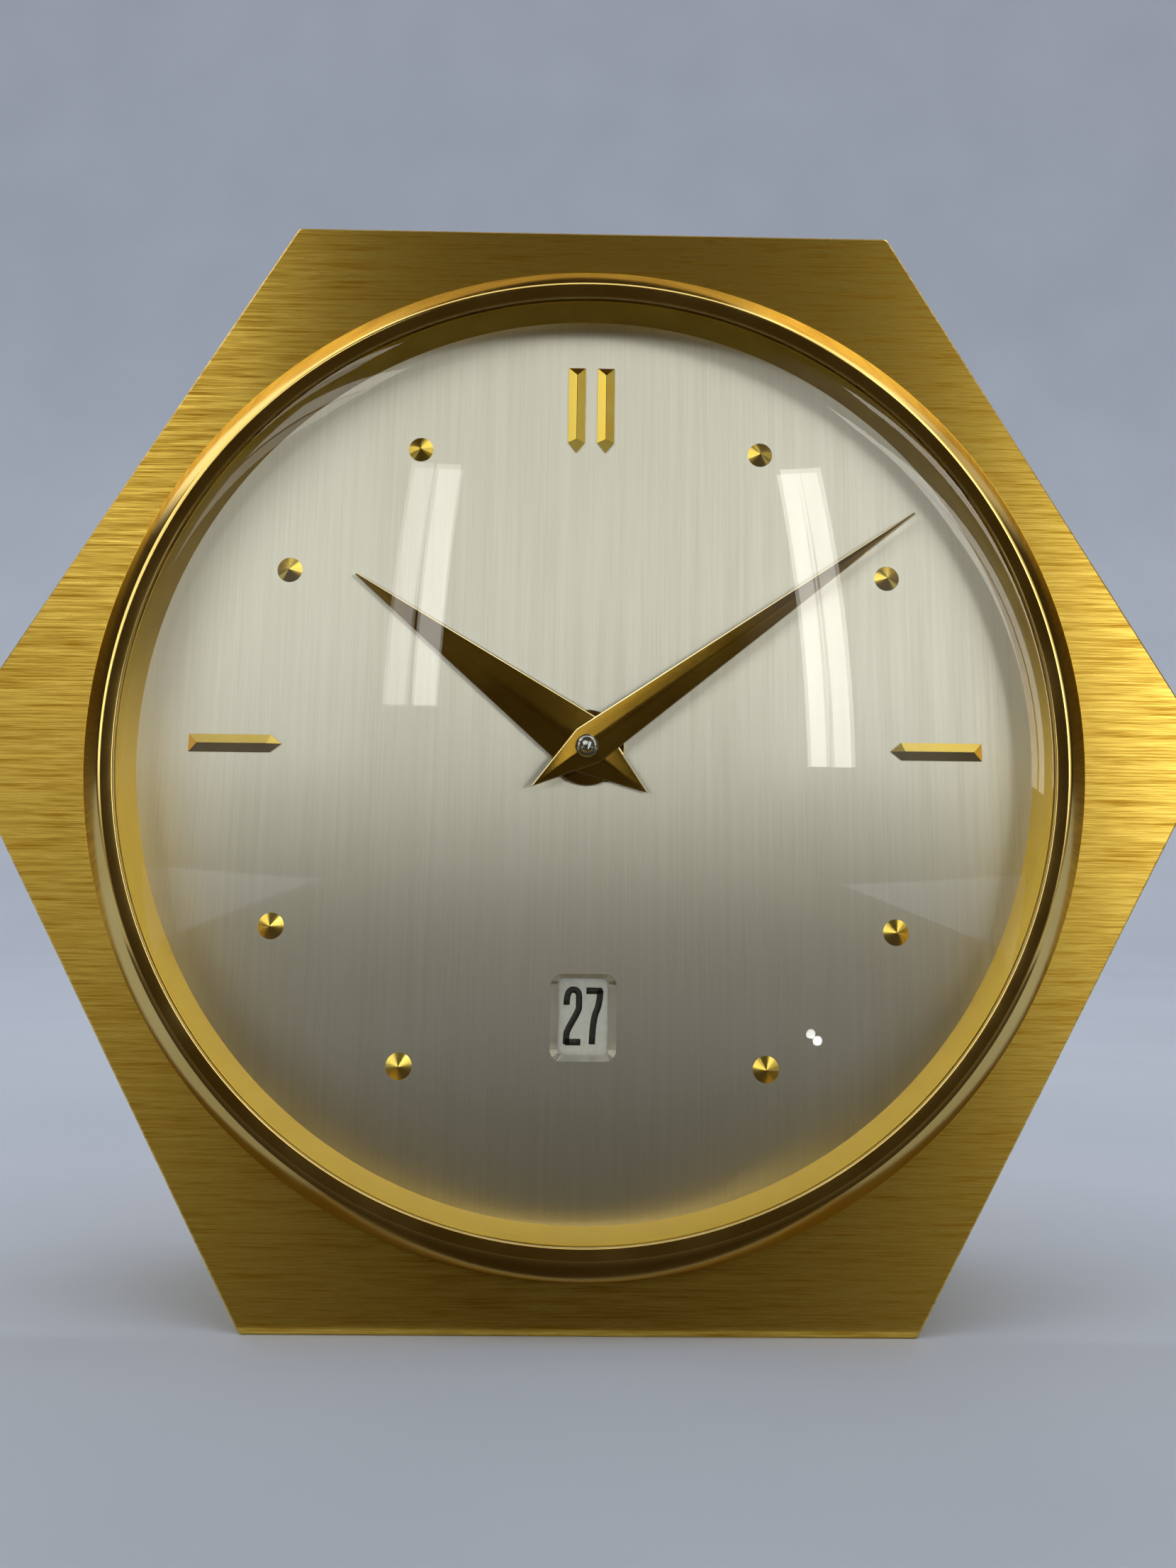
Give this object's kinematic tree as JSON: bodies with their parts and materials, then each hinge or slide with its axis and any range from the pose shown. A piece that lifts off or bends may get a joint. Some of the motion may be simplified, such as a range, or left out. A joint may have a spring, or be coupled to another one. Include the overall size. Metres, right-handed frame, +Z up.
{
  "type": "table clock",
  "caption": "Hexagonal brass table clock with a domed glass, silvered dial, ridged hands, a date window and a key-wound movement.",
  "frame": {"origin": "middle of the flat face that the clock rests on", "axes": "+X to the right seen from the front, +Y to the back, +Z up; the dial faces -Y"},
  "size_m": [0.1014, 0.0453, 0.088],
  "materials": {
    "case_brass": "brushed lengthwise on the front face, satin sides",
    "bezel_brass": "polished",
    "clear_glass": "clear, domed",
    "reflector_brass": "satin",
    "dial_silver": "silvered, brushed upright",
    "gilt": "polished facets",
    "date_white": "printed",
    "cover_brass": "satin",
    "key_brass": "polished",
    "steel": "turned",
    "spring_steel": "blued",
    "movement_brass": "matt gilt"
  },
  "bodies": {
    "clock_case": {"case_body": "case_brass", "bezel_ring": "bezel_brass", "glass_dome": "clear_glass", "reflector_ring": "reflector_brass", "dial_plate": "dial_silver", "hour_bars": "gilt", "hour_studs": "gilt", "dial_seat_ring": "movement_brass", "date_jumper": "spring_steel", "wheel_studs": "steel", "main_plate": "movement_brass", "back_plate": "movement_brass", "plate_pillars": "movement_brass", "pillar_screws": "steel", "movement_screws": "steel", "hairspring": "spring_steel", "balance_bush": "movement_brass", "click_spring": "spring_steel", "back_cover": "cover_brass", "cover_screws": "steel"},
    "minute_body": {"centre_arbor": "steel", "cannon_pinion": "steel", "minute_hand": "gilt", "clutch_spring": "spring_steel", "setting_knob": "key_brass"},
    "hour_body": {"hour_wheel": "movement_brass", "hour_hand": "gilt"},
    "minute_wheel_body": {"minute_wheel": "movement_brass", "minute_pinion": "steel"},
    "calendar_body": {"calendar_wheel": "movement_brass", "date_finger": "movement_brass"},
    "date_body": {"date_ring": "date_white"},
    "barrel_body": {"barrel_drum": "movement_brass", "barrel_cover": "movement_brass", "mainspring": "spring_steel"},
    "winding_body": {"barrel_arbor": "steel", "ratchet_wheel": "steel", "winding_key_hub": "key_brass", "key_hinge_pin": "steel"},
    "key_bow_body": {"winding_key_bow": "key_brass"},
    "intermediate_body": {"intermediate_arbor": "steel", "intermediate_wheel": "movement_brass"},
    "centre_body": {"centre_pinion": "steel", "centre_wheel": "movement_brass"},
    "third_body": {"third_arbor": "steel", "third_wheel": "movement_brass"},
    "fourth_body": {"fourth_arbor": "steel", "fourth_wheel": "movement_brass"},
    "escape_body": {"escape_arbor": "steel", "escape_wheel": "movement_brass"},
    "lever_body": {"lever_arbor": "steel", "pallet_lever": "steel", "pallet_pins": "steel"},
    "balance_body": {"balance_staff": "steel", "balance_wheel": "movement_brass", "impulse_roller": "steel"},
    "regulator_body": {"regulator_index": "steel"}
  },
  "joints": [
    {"name": "minute_turn", "type": "hinge", "parent": "clock_case", "child": "minute_body", "pos_m": [0, -0.0088, 0.044], "axis": [0, 1, 0], "continuous": true},
    {"name": "hour_turn", "type": "hinge", "parent": "clock_case", "child": "hour_body", "pos_m": [0, -0.0134, 0.044], "axis": [0, 1, 0], "continuous": true},
    {"name": "minute_wheel_turn", "type": "hinge", "parent": "clock_case", "child": "minute_wheel_body", "pos_m": [-0.00677, -0.0088, 0.04154], "axis": [0, 1, 0], "continuous": true},
    {"name": "calendar_turn", "type": "hinge", "parent": "clock_case", "child": "calendar_body", "pos_m": [0.00981, -0.0088, 0.04757], "axis": [0, 1, 0], "continuous": true},
    {"name": "date_turn", "type": "hinge", "parent": "clock_case", "child": "date_body", "pos_m": [0, -0.0119, 0.044], "axis": [0, 1, 0], "continuous": true, "deforming": ["date_jumper"]},
    {"name": "fourth_turn", "type": "hinge", "parent": "clock_case", "child": "fourth_body", "pos_m": [0.01419, -0.0068, 0.04309], "axis": [0, 1, 0], "continuous": true},
    {"name": "escape_turn", "type": "hinge", "parent": "clock_case", "child": "escape_body", "pos_m": [0.01287, -0.0068, 0.03564], "axis": [0, 1, 0], "continuous": true},
    {"name": "third_turn", "type": "hinge", "parent": "clock_case", "child": "third_body", "pos_m": [0.00842, -0.0068, 0.04886], "axis": [0, 1, 0], "continuous": true},
    {"name": "centre_turn", "type": "hinge", "parent": "clock_case", "child": "centre_body", "pos_m": [0, -0.0068, 0.044], "axis": [0, 1, 0], "continuous": true},
    {"name": "intermediate_turn", "type": "hinge", "parent": "clock_case", "child": "intermediate_body", "pos_m": [-0.00667, -0.0068, 0.05397], "axis": [0, 1, 0], "continuous": true},
    {"name": "barrel_turn", "type": "hinge", "parent": "clock_case", "child": "barrel_body", "pos_m": [-0.0165, -0.0068, 0.044], "axis": [0, 1, 0], "continuous": true},
    {"name": "winding_turn", "type": "hinge", "parent": "clock_case", "child": "winding_body", "pos_m": [-0.0165, 0.0092, 0.044], "axis": [0, -1, 0], "range_deg": [0, 2160], "deforming": ["mainspring", "click_spring"]},
    {"name": "key_fold", "type": "hinge", "parent": "winding_body", "child": "key_bow_body", "pos_m": [-0.0165, 0.0207, 0.044], "axis": [1, 0, 0], "range_deg": [0, 90]},
    {"name": "lever_rock", "type": "hinge", "parent": "clock_case", "child": "lever_body", "pos_m": [0.00902, -0.0068, 0.03105], "axis": [0, 1, 0], "range_deg": [-4, 4]},
    {"name": "balance_swing", "type": "hinge", "parent": "clock_case", "child": "balance_body", "pos_m": [0.0009, -0.0068, 0.02887], "axis": [0, 1, 0], "range_deg": [-220, 220], "stiffness_Nm_per_rad": 0.0000027, "deforming": ["hairspring"]},
    {"name": "regulator_turn", "type": "hinge", "parent": "clock_case", "child": "regulator_body", "pos_m": [0.0009, 0.0092, 0.02887], "axis": [0, 1, 0], "range_deg": [-15, 15]}
  ],
  "couplings": [
    {"joint": "hour_turn", "follows": "minute_turn", "ratio": 0.083333},
    {"joint": "minute_wheel_turn", "follows": "minute_turn", "ratio": -0.33333},
    {"joint": "calendar_turn", "follows": "minute_turn", "ratio": -0.041667},
    {"joint": "escape_turn", "follows": "fourth_turn", "ratio": -8},
    {"joint": "third_turn", "follows": "fourth_turn", "ratio": -0.13333},
    {"joint": "centre_turn", "follows": "fourth_turn", "ratio": 0.016667},
    {"joint": "intermediate_turn", "follows": "fourth_turn", "ratio": -0.0033333},
    {"joint": "barrel_turn", "follows": "fourth_turn", "ratio": 0.00055556}
  ]
}
